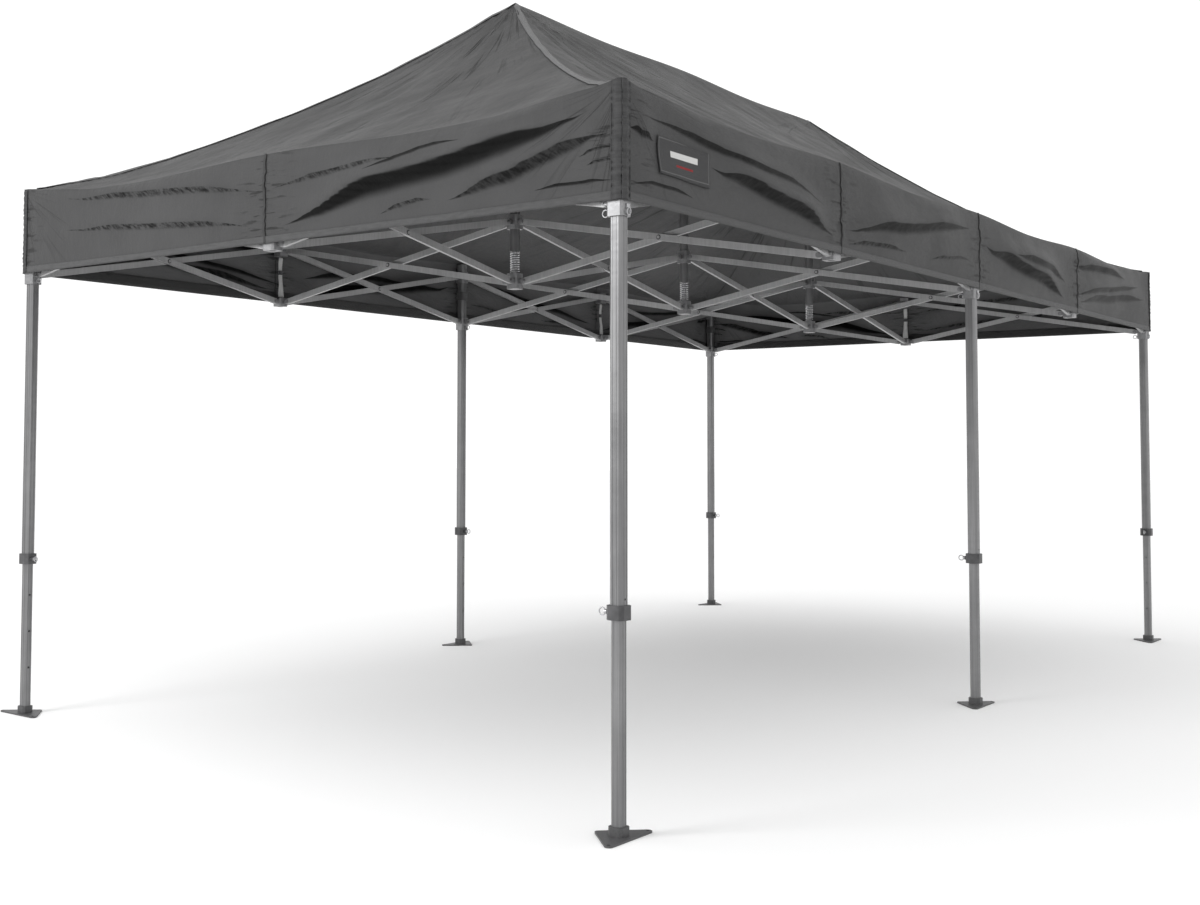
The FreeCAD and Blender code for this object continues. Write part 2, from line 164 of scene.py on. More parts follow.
EAVE_HOLDS = [(x, s * BAY) for x in COLUMN_X for s in (-1, 1)] + [(-2 * BAY, 0), (2 * BAY, 0)]
TENSION_LINES = []
for sx in (-1, 1):
    peak = (sx * RIDGE_HALF, 0)
    TENSION_LINES += [(peak, (sx * x, sy * BAY)) for sy in (-1, 1) for x in (0, BAY)]
for sx in (-1, 1):
    TENSION_LINES.append(((sx * RIDGE_HALF, 0), (sx * 2 * BAY, 0)))

# Folds of the valance: points (place along the side, depth under the eave) of the lower edge of the
# fold's dark band of painted shade, how far it stands out, the band's width, and how torn up by puckers
# it is. The short side runs along Y and the long side along X; the two farther sides repeat the two
# nearer ones.
SHORT_FOLDS = [
    (
        [(-1.46, 0.057), (-1.375, 0.097), (-1.26, 0.131), (-1.10, 0.170), (-0.936, 0.196)]
        + [(-0.76, 0.221), (-0.53, 0.246), (-0.29, 0.284), (-0.05, 0.302)],
        0.046,
        0.078,
        0.0,
    ),
    (
        [(-1.51, 0.150), (-1.435, 0.170), (-1.337, 0.204), (-1.18, 0.243), (-1.135, 0.262)]
        + [(-0.98, 0.275), (-0.84, 0.286)],
        0.026,
        0.044,
        0.4,
    ),
    ([(-0.952, 0.066), (-0.761, 0.084), (-0.625, 0.114), (-0.49, 0.13)], 0.012, 0.015, 0.15),
    ([(-0.68, 0.092), (-0.465, 0.113), (-0.288, 0.128), (-0.02, 0.146)], 0.010, 0.024, 0.9),
    ([(0.0, 0.152), (0.56, 0.094), (1.26, 0.04)], 0.016, 0.030, 1.0),
    ([(0.04, 0.286), (0.587, 0.240), (1.26, 0.182)], 0.014, 0.028, 1.0),
    ([(-0.80, 0.270), (-0.68, 0.284), (-0.56, 0.300)], 0.010, 0.018, 0.8),
    ([(-1.51, 0.297), (-1.375, 0.297), (-1.20, 0.294)], 0.008, 0.011, 0.1),
    ([(-1.51, 0.198), (-1.38, 0.212)], 0.008, 0.009, 0.6),
    ([(-1.51, 0.240), (-1.41, 0.241)], 0.008, 0.009, 0.6),
]
LONG_FOLDS = [
    (
        [(-2.54, 0.162), (-2.43, 0.193), (-2.29, 0.214)]
        + [(-2.14, 0.234), (-1.9, 0.264), (-1.53, 0.305)],
        0.036,
        0.046,
        0.1,
    ),
    (
        [(-2.98, 0.083), (-2.82, 0.092), (-2.63, 0.105), (-2.43, 0.125)]
        + [(-2.2, 0.136), (-1.9, 0.152), (-1.6, 0.2)],
        0.014,
        0.026,
        0.1,
    ),
    ([(-3.0, 0.137), (-2.94, 0.158), (-2.86, 0.152)], 0.008, 0.024, 0.0),
    ([(-3.0, 0.302), (-2.88, 0.294), (-2.6, 0.299)], 0.008, 0.012, 0.1),
    (
        [(-1.48, 0.262), (-1.27, 0.251), (-0.904, 0.213), (-0.505, 0.156), (-0.05, 0.075)],
        0.034,
        0.050,
        0.1,
    ),
    ([(-1.46, 0.314), (-1.15, 0.297), (-0.83, 0.276)], 0.010, 0.020, 0.6),
    ([(-0.62, 0.280), (-0.395, 0.264), (-0.1, 0.235)], 0.010, 0.016, 0.7),
    ([(0.02, 0.125), (0.157, 0.180), (0.424, 0.224), (0.78, 0.255), (1.32, 0.300)], 0.036, 0.060, 0.1),
    ([(0.39, 0.146), (0.60, 0.168), (0.975, 0.182), (1.33, 0.215)], 0.020, 0.044, 0.1),
    ([(1.40, 0.098), (1.6, 0.120), (2.06, 0.092), (2.42, 0.076)], 0.022, 0.044, 0.1),
    ([(1.40, 0.275), (1.82, 0.225), (2.3, 0.165), (2.78, 0.098)], 0.026, 0.034, 0.1),
    ([(1.5, 0.297), (2.05, 0.266), (2.9, 0.172)], 0.014, 0.052, 0.3),
]
SIDES = {
    "left": {"out": Vector((-1, 0, 0)), "half": HALF_Y, "folds": SHORT_FOLDS, "turn": 1},
    "right": {"out": Vector((1, 0, 0)), "half": HALF_Y, "folds": SHORT_FOLDS, "turn": -1},
    "near": {"out": Vector((0, -1, 0)), "half": HALF_X, "folds": LONG_FOLDS, "turn": 1},
    "far": {"out": Vector((0, 1, 0)), "half": HALF_X, "folds": LONG_FOLDS, "turn": -1},
}


def fold_relief(along, drop, points, bulge, band):
    """How far one fold stands out: cloth swells over the band and drops sharply in at its upper edge."""
    points = sorted(points)
    places = [p[0] for p in points]
    above = np.interp(along, places, [p[1] for p in points]) - drop
    share = (along - places[0]) / (places[-1] - places[0])
    ends = ease(share / 0.3) * ease((1 - share) / 0.35)
    width = band * ends
    return bulge * ends * ease((above - width + 0.02) / 0.024) * (1 - ease((above - width) / 0.15))


def valance_relief(side, along, drop):
    """How far the valance stands out at a point."""
    facts = SIDES[side]
    turned = along * facts["turn"]
    relief = np.zeros_like(along)
    for points, bulge, band, _ in facts["folds"]:
        relief = relief + fold_relief(turned, drop, points, bulge, band)
    pull = np.zeros_like(along)
    for place in seam_places(side):
        pull = np.maximum(pull, np.exp(-np.abs(along - place) / 0.09))
    relief = relief + 0.005 + 0.004 * ripple(turned, drop * 2.5, 0.5, 40)
    relief = relief + 0.004 * pull * ripple(turned * 0.6, drop * 1.6, 0.05, 41)
    near_corner = ease((facts["half"] - CORNER_CUT - np.abs(along)) / 0.09)
    held = ease(drop / 0.03) * (1 - 0.75 * ease((drop - 0.29) / (DROP - 0.29)))
    return np.maximum(relief, 0) * near_corner * held


def seam_places(side):
    """Where the valance's upright seams are along a side."""
    return [0.0] if side in ("left", "right") else [-BAY, 0.0, BAY]


def valance_point(side, along, drop, lift=0.0):
    """Points on a side's valance, lifted off its outer face, as an array of rows."""
    facts = SIDES[side]
    half = facts["half"]
    relief = valance_relief(side, along, drop)
    past = np.clip((np.abs(along) - (half - CORNER_CUT)) / CORNER_CUT, 0, 1)
    out = relief + lift - past * CORNER_CUT / 2
    placed = np.sign(along) * (np.abs(along) - past * CORNER_CUT / 2 + past * lift)
    normal = facts["out"]
    if side in ("left", "right"):
        x = normal.x * (HALF_X + out)
        y = placed
        eave = roof_height(np.full_like(along, normal.x * HALF_X), along)
    else:
        x = placed
        y = normal.y * (HALF_Y + out)
        eave = roof_height(along, np.full_like(along, normal.y * HALF_Y))
    z = eave - drop * (eave - HEM_Z) / DROP
    return np.stack([x, y, z], axis=-1)


# ---- mesh helpers -----------------------------------------------------------
def new_piece(name, bm, body, smooth=True):
    """Makes an object of a finished bmesh and rides it on a body."""
    mesh = bpy.data.meshes.new(name)
    bm.to_mesh(mesh)
    bm.free()
    mesh.polygons.foreach_set("use_smooth", [smooth] * len(mesh.polygons))
    piece = bpy.data.objects.new(name, mesh)
    bpy.context.scene.collection.objects.link(piece)
    if body:
        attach(piece, body)
    return piece


def grid_mesh(columns, rows):
    """A bmesh grid whose vertices sit at whole numbers, columns + 1 by rows + 1 of them."""
    bm = bmesh.new()
    bmesh.ops.create_grid(bm, x_segments=columns, y_segments=rows, size=0.5)
    for v in bm.verts:
        v.co.x = round((v.co.x + 0.5) * columns)
        v.co.y = round((v.co.y + 0.5) * rows)
    return bm


def place_vertices(bm, points):
    """Moves the vertices, in their own order, to rows of an array."""
    for v, p in zip(bm.verts, points):
        v.co = p


def vertex_grid(bm):
    """The vertices' x and y as two arrays."""
    co = np.array([v.co[:2] for v in bm.verts], float)
    return co[:, 0], co[:, 1]


def add_box(bm, centre, size, bevel):
    """Adds a box with rounded edges to a bmesh."""
    made = bmesh.ops.create_cube(bm, size=1.0)["verts"]
    bmesh.ops.scale(bm, vec=size, verts=made)
    edges = list({e for v in made for e in v.link_edges})
    done = bmesh.ops.bevel(
        bm, geom=edges, offset=bevel, affect="EDGES", segments=3, profile=0.5, material=-1
    )
    made = list({v for f in done["faces"] for v in f.verts} | {v for v in made if v.is_valid})
    bmesh.ops.translate(bm, vec=centre, verts=made)


def add_ring(bm, centre, normal, major, minor, steps=28, sides=10):
    """Adds a round ring of wire to a bmesh, its axis along normal."""
    circle = bmesh.ops.create_circle(bm, segments=sides, radius=minor)["verts"]
    bmesh.ops.rotate(bm, cent=(0, 0, 0), matrix=Matrix.Rotation(math.pi / 2, 3, "X"), verts=circle)
    bmesh.ops.translate(bm, vec=(major, 0, 0), verts=circle)
    edges = list({e for v in circle for e in v.link_edges})
    before = set(bm.verts) - set(circle)
    bmesh.ops.spin(
        bm,
        geom=circle + edges,
        cent=(0, 0, 0),
        axis=(0, 0, 1),
        angle=2 * math.pi,
        steps=steps,
        use_merge=True,
    )
    made = [v for v in bm.verts if v not in before]
    facing = Vector(normal).to_track_quat("Z", "Y").to_matrix()
    bmesh.ops.rotate(bm, cent=(0, 0, 0), matrix=facing, verts=made)
    bmesh.ops.translate(bm, vec=centre, verts=made)


# ---- finishes -----------------------------------------------------------------
class Value:
    """A socket of a finish's nodes that Python's arithmetic works on."""

    def __init__(self, finish, socket):
        self.finish = finish
        self.socket = socket

    def math(self, operation, *others):
        return self.finish.node("Math", {"operation": operation}, dict(enumerate([self, *others])))

    def __add__(self, other):
        return self.math("ADD", other)

    def __sub__(self, other):
        return self.math("SUBTRACT", other)

    def __rsub__(self, other):
        return self.finish.node("Math", {"operation": "SUBTRACT"}, {0: other, 1: self})

    def __mul__(self, other):
        return self.math("MULTIPLY", other)

    def __truediv__(self, other):
        return self.math("DIVIDE", other)

    def __abs__(self):
        return self.math("ABSOLUTE")

    def __gt__(self, other):
        return self.math("GREATER_THAN", other)

    __radd__ = __add__
    __rmul__ = __mul__


class Finish:
    """A material: its node tree, its shader, and the one way to add a node."""

    def __init__(self, name, metallic=0.0, roughness=0.5):
        self.material = bpy.data.materials.new(name)
        self.material.use_nodes = True
        self.tree = self.material.node_tree
        self.shader = self.tree.nodes["Principled BSDF"]
        self.shader.inputs["Metallic"].default_value = metallic
        self.shader.inputs["Roughness"].default_value = roughness

    def node(self, kind, settings=None, sockets=None, output=0):
        made = self.tree.nodes.new("ShaderNode" + kind)
        for key, value in (settings or {}).items():
            setattr(made, key, value)
        for key, value in (sockets or {}).items():
            if isinstance(value, Value):
                self.tree.links.new(value.socket, made.inputs[key])
            else:
                made.inputs[key].default_value = value
        return Value(self, made.outputs[output])

    def place(self, source="Object"):
        """Where a point is: on the object in metres, or on the piece's own cut."""
        return self.node("TexCoord", output=source)

    def parts(self, vector):
        return [self.node("SeparateXYZ", sockets={"Vector": vector}, output=k) for k in range(3)]

    def joined(self, x, y, z=0.0):
        return self.node("CombineXYZ", sockets={"X": x, "Y": y, "Z": z})

    def noise(self, vector, scale, detail=3.0, roughness=0.5):
        sockets = {"Vector": vector, "Scale": scale, "Detail": detail, "Roughness": roughness}
        return self.node("TexNoise", sockets=sockets)

    def waves(self, vector, scale, axis="X"):
        settings = {"wave_type": "BANDS", "bands_direction": axis}
        return self.node("TexWave", settings, {"Vector": vector, "Scale": scale})

    def creases(self, x, y, pleats, reach):
        """Thin creases that spread from where x and y are nought, fading over reach."""
        turn = y.math("ARCTAN2", x)
        away = (x * x + y * y).math("SQRT")
        uneven = self.noise(self.joined(turn * pleats, away * 0.5), 1.0, 2.0, 0.5)
        chosen = self.noise(self.joined(turn * pleats * 0.6, away * 2.2), 1.0, 2.0, 0.5)
        sharp = self.ramp(abs(uneven - 0.5), 0.0, 0.045, 1.0, 0.0) * self.ramp(chosen, 0.48, 0.62)
        return sharp * self.ramp(away, reach * 0.1, reach, 1.0, 0.0)

    def bent(self, value, points):
        """A line through points, straight between them and level past its ends."""
        total = points[0][1]
        for (x0, y0), (x1, y1) in zip(points, points[1:]):
            sockets = {"Value": value, "From Min": x0, "From Max": x1, "To Min": 0.0, "To Max": y1 - y0}
            total = total + self.node("MapRange", sockets=sockets)
        return total

    def painted_fold_shade(self, run, drop, folds, wander, torn):
        """Painted shade of a side's folds: dark bands, sharp at the upper edge, fading out below."""
        shade = 0.0
        for points, _, band, tear in folds:
            points = sorted(points)
            share = (run - points[0][0]) / (points[-1][0] - points[0][0])
            ends = self.ramp(share, 0.0, 0.3) * self.ramp(share, 0.65, 1.0, 1.0, 0.0)
            above = (self.bent(run, points) - drop + wander) / (ends * band + 0.0012)
            dark = self.ramp(above, 0.0, 0.6) * self.ramp(above, 1.0, 1.14, 1.0, 0.0)
            dark = dark * self.ramp(ends, 0.0, 0.12) * (1 - torn * tear)
            shade = dark.math("MAXIMUM", shade)
        return shade

    def ramp(self, value, low, high, bottom=0.0, top=1.0):
        sockets = {"Value": value, "From Min": low, "From Max": high, "To Min": bottom, "To Max": top}
        return self.node("MapRange", {"interpolation_type": "SMOOTHSTEP"}, sockets)

    def blend(self, share, low, high):
        """A colour between two, as share goes from 0 to 1."""
        sockets = {"Factor": share, 6: tint(low), 7: tint(high)}
        return self.node("Mix", {"data_type": "RGBA"}, sockets, output=2)

    def bump(self, height, depth, strength=1.0, under=None):
        sockets = {"Height": height, "Distance": depth, "Strength": strength}
        if under:
            sockets["Normal"] = under
        return self.node("Bump", sockets=sockets)

    def feed(self, socket, value):
        self.tree.links.new(value.socket, self.shader.inputs[socket])


def tint(colour):
    """A colour given as a value, a grey or three numbers, as a socket takes it."""
    if isinstance(colour, Value):
        return colour
    if isinstance(colour, (int, float)):
        return (colour, colour, colour, 1)
    return (*colour, 1)


def grey(level):
    """A neutral grey of that reflectance."""
    return (level, level, level * 1.01)


def canopy_fabric(name, shade):
    """Coated polyester: plain weave, seams with stitching, pulled puckers and fine creases; painted
    shade darkens the valance folds, the creases, the puckers and the roof slopes.
    """
    f = Finish(name, roughness=0.5)
    f.shader.inputs["Specular IOR Level"].default_value = 0.09
    u, v, _ = f.parts(f.place("UV"))
    across = abs(u)
    along = abs(v)
    cut = f.joined(u, v)
    on_short = across > HALF_X
    on_long = along > HALF_Y
    on_drop = on_short.math("MAXIMUM", on_long)
    slope = 1 - on_drop
    drop = (across - HALF_X).math("MAXIMUM", along - HALF_Y)
    run_short = v * u.math("SIGN") * -1
    run_long = u * v.math("SIGN") * -1
    run = run_short * on_short + run_long * on_long
    # how far the nearest seam is: uprights of the valance, the hips and the corners
    long_seam = u.math("PINGPONG", BAY / 2) + (1 - on_long) * 9.0
    upright = long_seam.math("MINIMUM", along + (1 - on_short) * 9.0)
    hip = abs(across - along - RIDGE_HALF) + on_drop * 9.0
    seam = upright.math("MINIMUM", hip)
    corner_gap = (HALF_Y - along) * on_short + (HALF_X - across) * on_long + slope * 9.0
    line = f.ramp(seam, 0.0015, 0.0035, 1.0, 0.0)
    stitch_row = f.ramp(abs(seam - 0.007), 0.0009, 0.0016, 1.0, 0.0)
    stitches = stitch_row * f.ramp(f.waves(f.joined(u + v, 0.0), 90.0), 0.35, 0.5)
    # folds of the valance: their painted shade, a dark band under each fold
    wander = (f.noise(f.joined(run, drop), 5.0, 3.0) - 0.5) * 0.016
    torn = f.ramp(f.noise(f.joined(run * 38.0 + drop * 30.0, drop * 26.0), 1.0, 4.0, 0.75), 0.36, 0.64)
    under = f.painted_fold_shade(run_short, drop, SHORT_FOLDS, wander, torn) * on_short
    under = under + f.painted_fold_shade(run_long, drop, LONG_FOLDS, wander, torn) * on_long
    # creases drawn out from the ends of the ridge and puckers beside the seams, both darkened as painted
    # shade, and a soft crumple everywhere
    drawn = f.creases(across - RIDGE_HALF, v, 15.0, 2.2) * slope
    drawn = drawn.math("MAXIMUM", f.creases(across - HALF_X, along - HALF_Y, 9.0, 0.7) * 0.4)
    beside = f.ramp(upright.math("MINIMUM", corner_gap), 0.02, 0.20, 1.0, 0.0)
    pucker = f.noise(f.joined(run * 0.3, drop * 2.0), 26.0, 3.0, 0.55)
    drape = f.noise(f.joined(u * 0.8 + v * 0.3, v * 1.5 - u * 0.3), 2.4, 5.0, 0.6)
    weave = f.waves(cut, 420.0) * f.waves(cut, 420.0, "Y")
    patchy = f.noise(cut, 1.3, 4.0, 0.6)
    share = f.ramp(patchy, 0.3, 0.7) * 0.45 + f.ramp(drape, 0.3, 0.7) * 0.35 + weave * 0.2
    base = f.blend(share, grey(shade * 0.82), grey(shade * 1.14))
    # painted shade: the roof slopes are darkened so they look no brighter than the valance under the
    # light that falls on them
    base = f.blend(slope * 0.22, base, 0.0)
    # painted shade in the creases drawn out from the ridge ends and the corners
    base = f.blend(drawn * 0.9, base, (0.012, 0.012, 0.012))
    # painted shade in the puckers beside the seams and corners
    base = f.blend(beside * f.ramp(pucker, 0.56, 0.64) * 0.7, base, (0.014, 0.014, 0.014))
    # painted shade: the valance darkened in the band under each fold
    base = f.blend(under, base, (0.004, 0.004, 0.004))
    base = f.blend(line * 0.7, base, (0.014, 0.014, 0.014))
    base = f.blend(stitches * 0.4, base, (0.12, 0.12, 0.12))
    f.feed("Base Color", base)
    f.feed("Roughness", f.ramp(drape, 0.2, 0.8, 0.42, 0.62))
    soft = f.bump(drape, 0.035, 0.6)
    sharp = f.bump(pucker * beside * 0.6 - drawn * 0.4, 0.012, 0.8, soft)
    stitched = f.bump(stitches - line * 1.5, 0.0012, 1.0, sharp)
    f.feed("Normal", f.bump(weave, 0.0002, 0.5, stitched))
    return f.material


def webbing(name, dark, light):
    """Woven strap: cross ribs and uneven tone."""
    f = Finish(name, roughness=0.7)
    f.shader.inputs["Sheen Weight"].default_value = 0.2
    ribs = f.waves(f.place(), 160.0, "Z")
    grime = f.noise(f.place(), 24.0, 3.0)
    f.feed("Base Color", f.blend(ribs * 0.4 + grime * 0.6, dark, light))
    f.feed("Normal", f.bump(ribs + grime * 0.4, 0.0008, 0.8))
    return f.material


def drawn_aluminium(name, dark, light, roughness, riveted=False):
    """Anodised tube: draw lines, faint blotches, rubbed places, and a dark washer where bars cross."""
    f = Finish(name, metallic=0.75, roughness=roughness)
    x, y, z = f.parts(f.place())
    lines = f.noise(f.joined(x * 90.0, y * 90.0, z * 1.5), 1.0, 4.0, 0.6)
    blotch = f.noise(f.place(), 3.0, 4.0, 0.6)
    scratch = f.noise(f.joined(x * 14.0, y * 14.0, z * 60.0), 1.0, 2.0)
    share = f.ramp(lines, 0.3, 0.7) * 0.55 + f.ramp(blotch, 0.3, 0.7) * 0.45
    base = f.blend(share, dark, light)
    if riveted:
        level = z - CROSSING_Z
        for way in (x, y):
            off = (way - BAY / 2).math("PINGPONG", BAY / 2)
            away = (off * off + level * level).math("SQRT")
            washer = f.ramp(abs(away - WASHER_RADIUS), 0.0012, 0.0026, 1.0, 0.0)
            base = f.blend(washer * 0.85, base, 0.015)
    f.feed("Base Color", base)
    f.feed("Roughness", f.ramp(scratch + blotch, 0.6, 1.4, roughness - 0.08, roughness + 0.12))
    f.feed("Normal", f.bump(lines + scratch * 0.3, 0.0006, 0.35))
    return f.material


def cast_metal(name, dark, light, metallic, roughness, grain=90.0):
    """Cast or tumbled metal: fine grain, soft blotches."""
    f = Finish(name, metallic=metallic, roughness=roughness)
    fine = f.noise(f.place(), grain, 4.0, 0.65)
    broad = f.noise(f.place(), 9.0, 3.0)
    f.feed("Base Color", f.blend(f.ramp(fine, 0.3, 0.7) * 0.5 + broad * 0.5, dark, light))
    f.feed("Roughness", f.ramp(fine, 0.3, 0.7, roughness - 0.07, roughness + 0.1))
    f.feed("Normal", f.bump(fine, 0.0008, 0.5))
    return f.material


def moulded_plastic(name, dark, light, roughness=0.45):
    """Black plastic with a spark-eroded grain and a few handling marks."""
    f = Finish(name, roughness=roughness)
    grain = f.noise(f.place(), 260.0, 3.0, 0.6)
    marks = f.noise(f.place(), 14.0, 4.0, 0.65)
    f.feed("Base Color", f.blend(f.ramp(marks, 0.35, 0.7), dark, light))
    f.feed("Roughness", f.ramp(marks, 0.3, 0.7, roughness - 0.08, roughness + 0.12))
    f.feed("Normal", f.bump(grain, 0.0004, 0.6))
    return f.material


def coil_wire(name):
    """Plated spring wire with faint die lines."""
    f = Finish(name, metallic=0.9, roughness=0.28)
    x, y, z = f.parts(f.place())
    lines = f.noise(f.joined(x * 30.0, y * 30.0, z * 240.0), 1.0, 3.0)
    f.feed("Base Color", f.blend(lines, (0.52, 0.52, 0.53), (0.74, 0.74, 0.75)))
    f.feed("Roughness", f.ramp(lines, 0.3, 0.7, 0.22, 0.36))
    f.feed("Normal", f.bump(lines, 0.0004, 0.4))
    return f.material


def bound_cloth(name, dark, light):
    """Folded tape of the cover's cloth with rows of stitching pulling it in."""
    f = Finish(name, roughness=0.55)
    f.shader.inputs["Specular IOR Level"].default_value = 0.28
    x, y, z = f.parts(f.place())
    gathers = f.noise(f.joined(x * 24.0 + y * 24.0, z * 90.0), 1.0, 4.0, 0.6)
    weave = f.waves(f.place(), 380.0, "Z") * f.waves(f.joined(x + y, 0.0), 380.0)
    f.feed("Base Color", f.blend(f.ramp(gathers, 0.3, 0.7) * 0.8 + weave * 0.2, dark, light))
    f.feed("Roughness", f.ramp(gathers, 0.2, 0.8, 0.45, 0.65))
    f.feed("Normal", f.bump(gathers + weave * 0.2, 0.003, 0.6))
    return f.material


def patch_weave():
    """Black woven patch: light border stitching, one light bar and a thin red one under it."""
    f = Finish("patch_weave", roughness=0.6)
    f.shader.inputs["Specular IOR Level"].default_value = 0.2
    u, v, _ = f.parts(f.place("UV"))
    half_wide, half_tall = 0.160, 0.060
    inset = (half_wide - abs(u)).math("MINIMUM", half_tall - abs(v))
    border = f.ramp(abs(inset - 0.007), 0.0010, 0.0022, 1.0, 0.0)
    bar = f.ramp((0.085 - abs(u)).math("MINIMUM", 0.011 - abs(v - 0.010)), 0.0, 0.002)
    under_bar = f.ramp((0.055 - abs(u)).math("MINIMUM", 0.0045 - abs(v + 0.024)), 0.0, 0.0015)
    weave = f.waves(f.joined(u, v), 300.0) * f.waves(f.joined(u, v), 300.0, "Y")
    speckle = f.noise(f.joined(u, v), 70.0, 4.0, 0.6)
    base = f.blend(weave * 0.4 + speckle * 0.6, (0.034, 0.034, 0.035), (0.052, 0.052, 0.053))
    base = f.blend(border * 0.5, base, (0.16, 0.16, 0.16))
    base = f.blend(bar, base, (0.55, 0.55, 0.54))
    base = f.blend(under_bar, base, (0.20, 0.012, 0.014))
    f.feed("Base Color", base)
    f.feed("Normal", f.bump(border + bar * 0.7 + under_bar * 0.7 + weave * 0.3, 0.0008, 0.8))
    return f.material


def studio_floor():
    """Plain pale floor with the least unevenness."""
    f = Finish("studio_floor", roughness=0.85)
    cloud = f.noise(f.place(), 0.35, 2.0)
    f.feed("Base Color", f.blend(cloud, (0.90, 0.90, 0.90), (0.93, 0.93, 0.93)))
    return f.material


BAR_DARK, BAR_LIGHT = (0.36, 0.36, 0.363), (0.48, 0.48, 0.483)
LEG_DARK, LEG_LIGHT = (0.16, 0.16, 0.163), (0.26, 0.26, 0.263)
FINISHES = {
    "canopy_fabric": canopy_fabric("canopy_fabric", 0.062),
    # the lining is the cover's own cloth painted lighter: painted light for the dim underside of the
    # roof
    "canopy_lining": canopy_fabric("canopy_lining", 0.099),
    "hook_tape": webbing("hook_tape", (0.006, 0.006, 0.006), (0.014, 0.014, 0.014)),
    "bar_aluminium": drawn_aluminium("bar_aluminium", BAR_DARK, BAR_LIGHT, 0.5, riveted=True),
    "leg_aluminium": drawn_aluminium("leg_aluminium", LEG_DARK, LEG_LIGHT, 0.36),
    "hub_casting": cast_metal("hub_casting", (0.20, 0.20, 0.205), (0.33, 0.33, 0.335), 0.7, 0.42),
    "dark_plastic": moulded_plastic("dark_plastic", (0.035, 0.035, 0.037), (0.085, 0.085, 0.088)),
    "pin_steel": cast_metal("pin_steel", (0.30, 0.30, 0.31), (0.5, 0.5, 0.51), 0.85, 0.3, 300.0),
    "spring_steel": coil_wire("spring_steel"),
    "foot_steel": cast_metal("foot_steel", (0.045, 0.045, 0.047), (0.11, 0.11, 0.112), 0.25, 0.5, 220.0),
    "light_webbing": webbing("light_webbing", (0.42, 0.42, 0.42), (0.66, 0.66, 0.65)),
    "binding": bound_cloth("binding", (0.030, 0.030, 0.031), (0.060, 0.060, 0.061)),
    "hem_cloth": bound_cloth("hem_cloth", (0.055, 0.055, 0.056), (0.082, 0.082, 0.083)),
    "hip_cloth": bound_cloth("hip_cloth", (0.085, 0.085, 0.086), (0.115, 0.115, 0.116)),
    "patch_weave": patch_weave(),
    "dark_webbing": webbing("dark_webbing", (0.035, 0.035, 0.036), (0.075, 0.075, 0.077)),
}
NODE_SLOTS = {s["node"]: s["material_slot"] for s in frame["record"]["subparts"]}


def paint(piece, finish):
    """Gives a piece one finish, in place of any it has."""
    piece.data.materials.clear()
    piece.data.materials.append(FINISHES[finish])
    return piece


for node_name, node_object in frame["nodes"].items():
    paint(node_object, NODE_SLOTS[node_name])


# ---- the cover ---------------------------------------------------------------
def cut_lines(flat_half, middle_half, middle_cells):
    """Grid lines across the flat cut, from edge to edge: valance, slope, middle, slope, valance."""
    valance = np.linspace(flat_half + DROP, flat_half, DROP_CELLS + 1)[:-1]
    slope = np.concatenate([[flat_half], np.linspace(flat_half - CORNER_CUT, middle_half, SLOPE_CELLS)])
    side = np.concatenate([valance, slope])
    if not middle_cells:
        return np.concatenate([-side, side[-2::-1]])
    middle = np.linspace(-middle_half, middle_half, middle_cells + 1)[1:-1]
    return np.concatenate([-side, middle, side[::-1]])


def hip_vertices(bm, u, v):
    """The vertices on the four hips of the flat cut."""
    on_hip = (np.abs(np.abs(u) - np.abs(v) - RIDGE_HALF) < HAIR) & (np.abs(u) <= HALF_X + HAIR)
    return [vert for vert, hip in zip(bm.verts, on_hip) if hip]


def cover_points(u, v, lift=0.0):
    """Where each point of the flat cut goes on the standing tent, lifted off it."""
    roof = roof_height(np.clip(u, -HALF_X, HALF_X), np.clip(v, -HALF_Y, HALF_Y))
    points = np.stack([u, v, roof], axis=-1)
    lift = np.broadcast_to(lift, u.shape)
    points[:, 2] += lift
    corner = (np.abs(np.abs(u) - HALF_X) < HAIR) & (np.abs(np.abs(v) - HALF_Y) < HAIR)
    points[corner, :2] -= np.sign(points[corner, :2]) * CORNER_CUT / 2
    regions = {
        "left": (u < -HALF_X - HAIR, v, -HALF_X - u),
        "right": (u > HALF_X + HAIR, v, u - HALF_X),
        "near": (v < -HALF_Y - HAIR, u, -HALF_Y - v),
        "far": (v > HALF_Y + HAIR, u, v - HALF_Y),
    }
    for side, (mask, along, drop) in regions.items():
        points[mask] = valance_point(side, along[mask], drop[mask], lift[mask])
    return points


def make_cover():
    """The whole fabric cover, cut flat as a cross, folded down at the eaves and drawn over the frame."""
    lines_x = cut_lines(HALF_X, RIDGE_HALF, RIDGE_CELLS)
    lines_y = cut_lines(HALF_Y, 0.0, 0)
    bm = grid_mesh(len(lines_x) - 1, len(lines_y) - 1)
    for vert in bm.verts:
        vert.co.x, vert.co.y = lines_x[int(vert.co.x)], lines_y[int(vert.co.y)]
    spare = [f for f in bm.faces if past_corner(f.calc_center_median())]
    bmesh.ops.delete(bm, geom=spare, context="FACES")
    u, v = vertex_grid(bm)
    bmesh.ops.connect_verts(bm, verts=hip_vertices(bm, u, v))
    cut_map = bm.loops.layers.uv.new("cut")
    for face in bm.faces:
        for loop in face.loops:
            loop[cut_map].uv = loop.vert.co.xy
    place_vertices(bm, cover_points(u, v))
    bmesh.ops.remove_doubles(bm, verts=bm.verts, dist=0.0002)
    bmesh.ops.recalc_face_normals(bm, faces=bm.faces)
    if sum(f.normal.z for f in bm.faces) < 0:
        bmesh.ops.reverse_faces(bm, faces=bm.faces)
    cover = new_piece("canopy_cover", bm, "column_3")
    thickness = cover.modifiers.new("cloth", "SOLIDIFY")
    thickness.thickness = FABRIC
    thickness.offset = -1
    thickness.material_offset = 1
    paint(cover, "canopy_fabric").data.materials.append(FINISHES["canopy_lining"])
    return cover


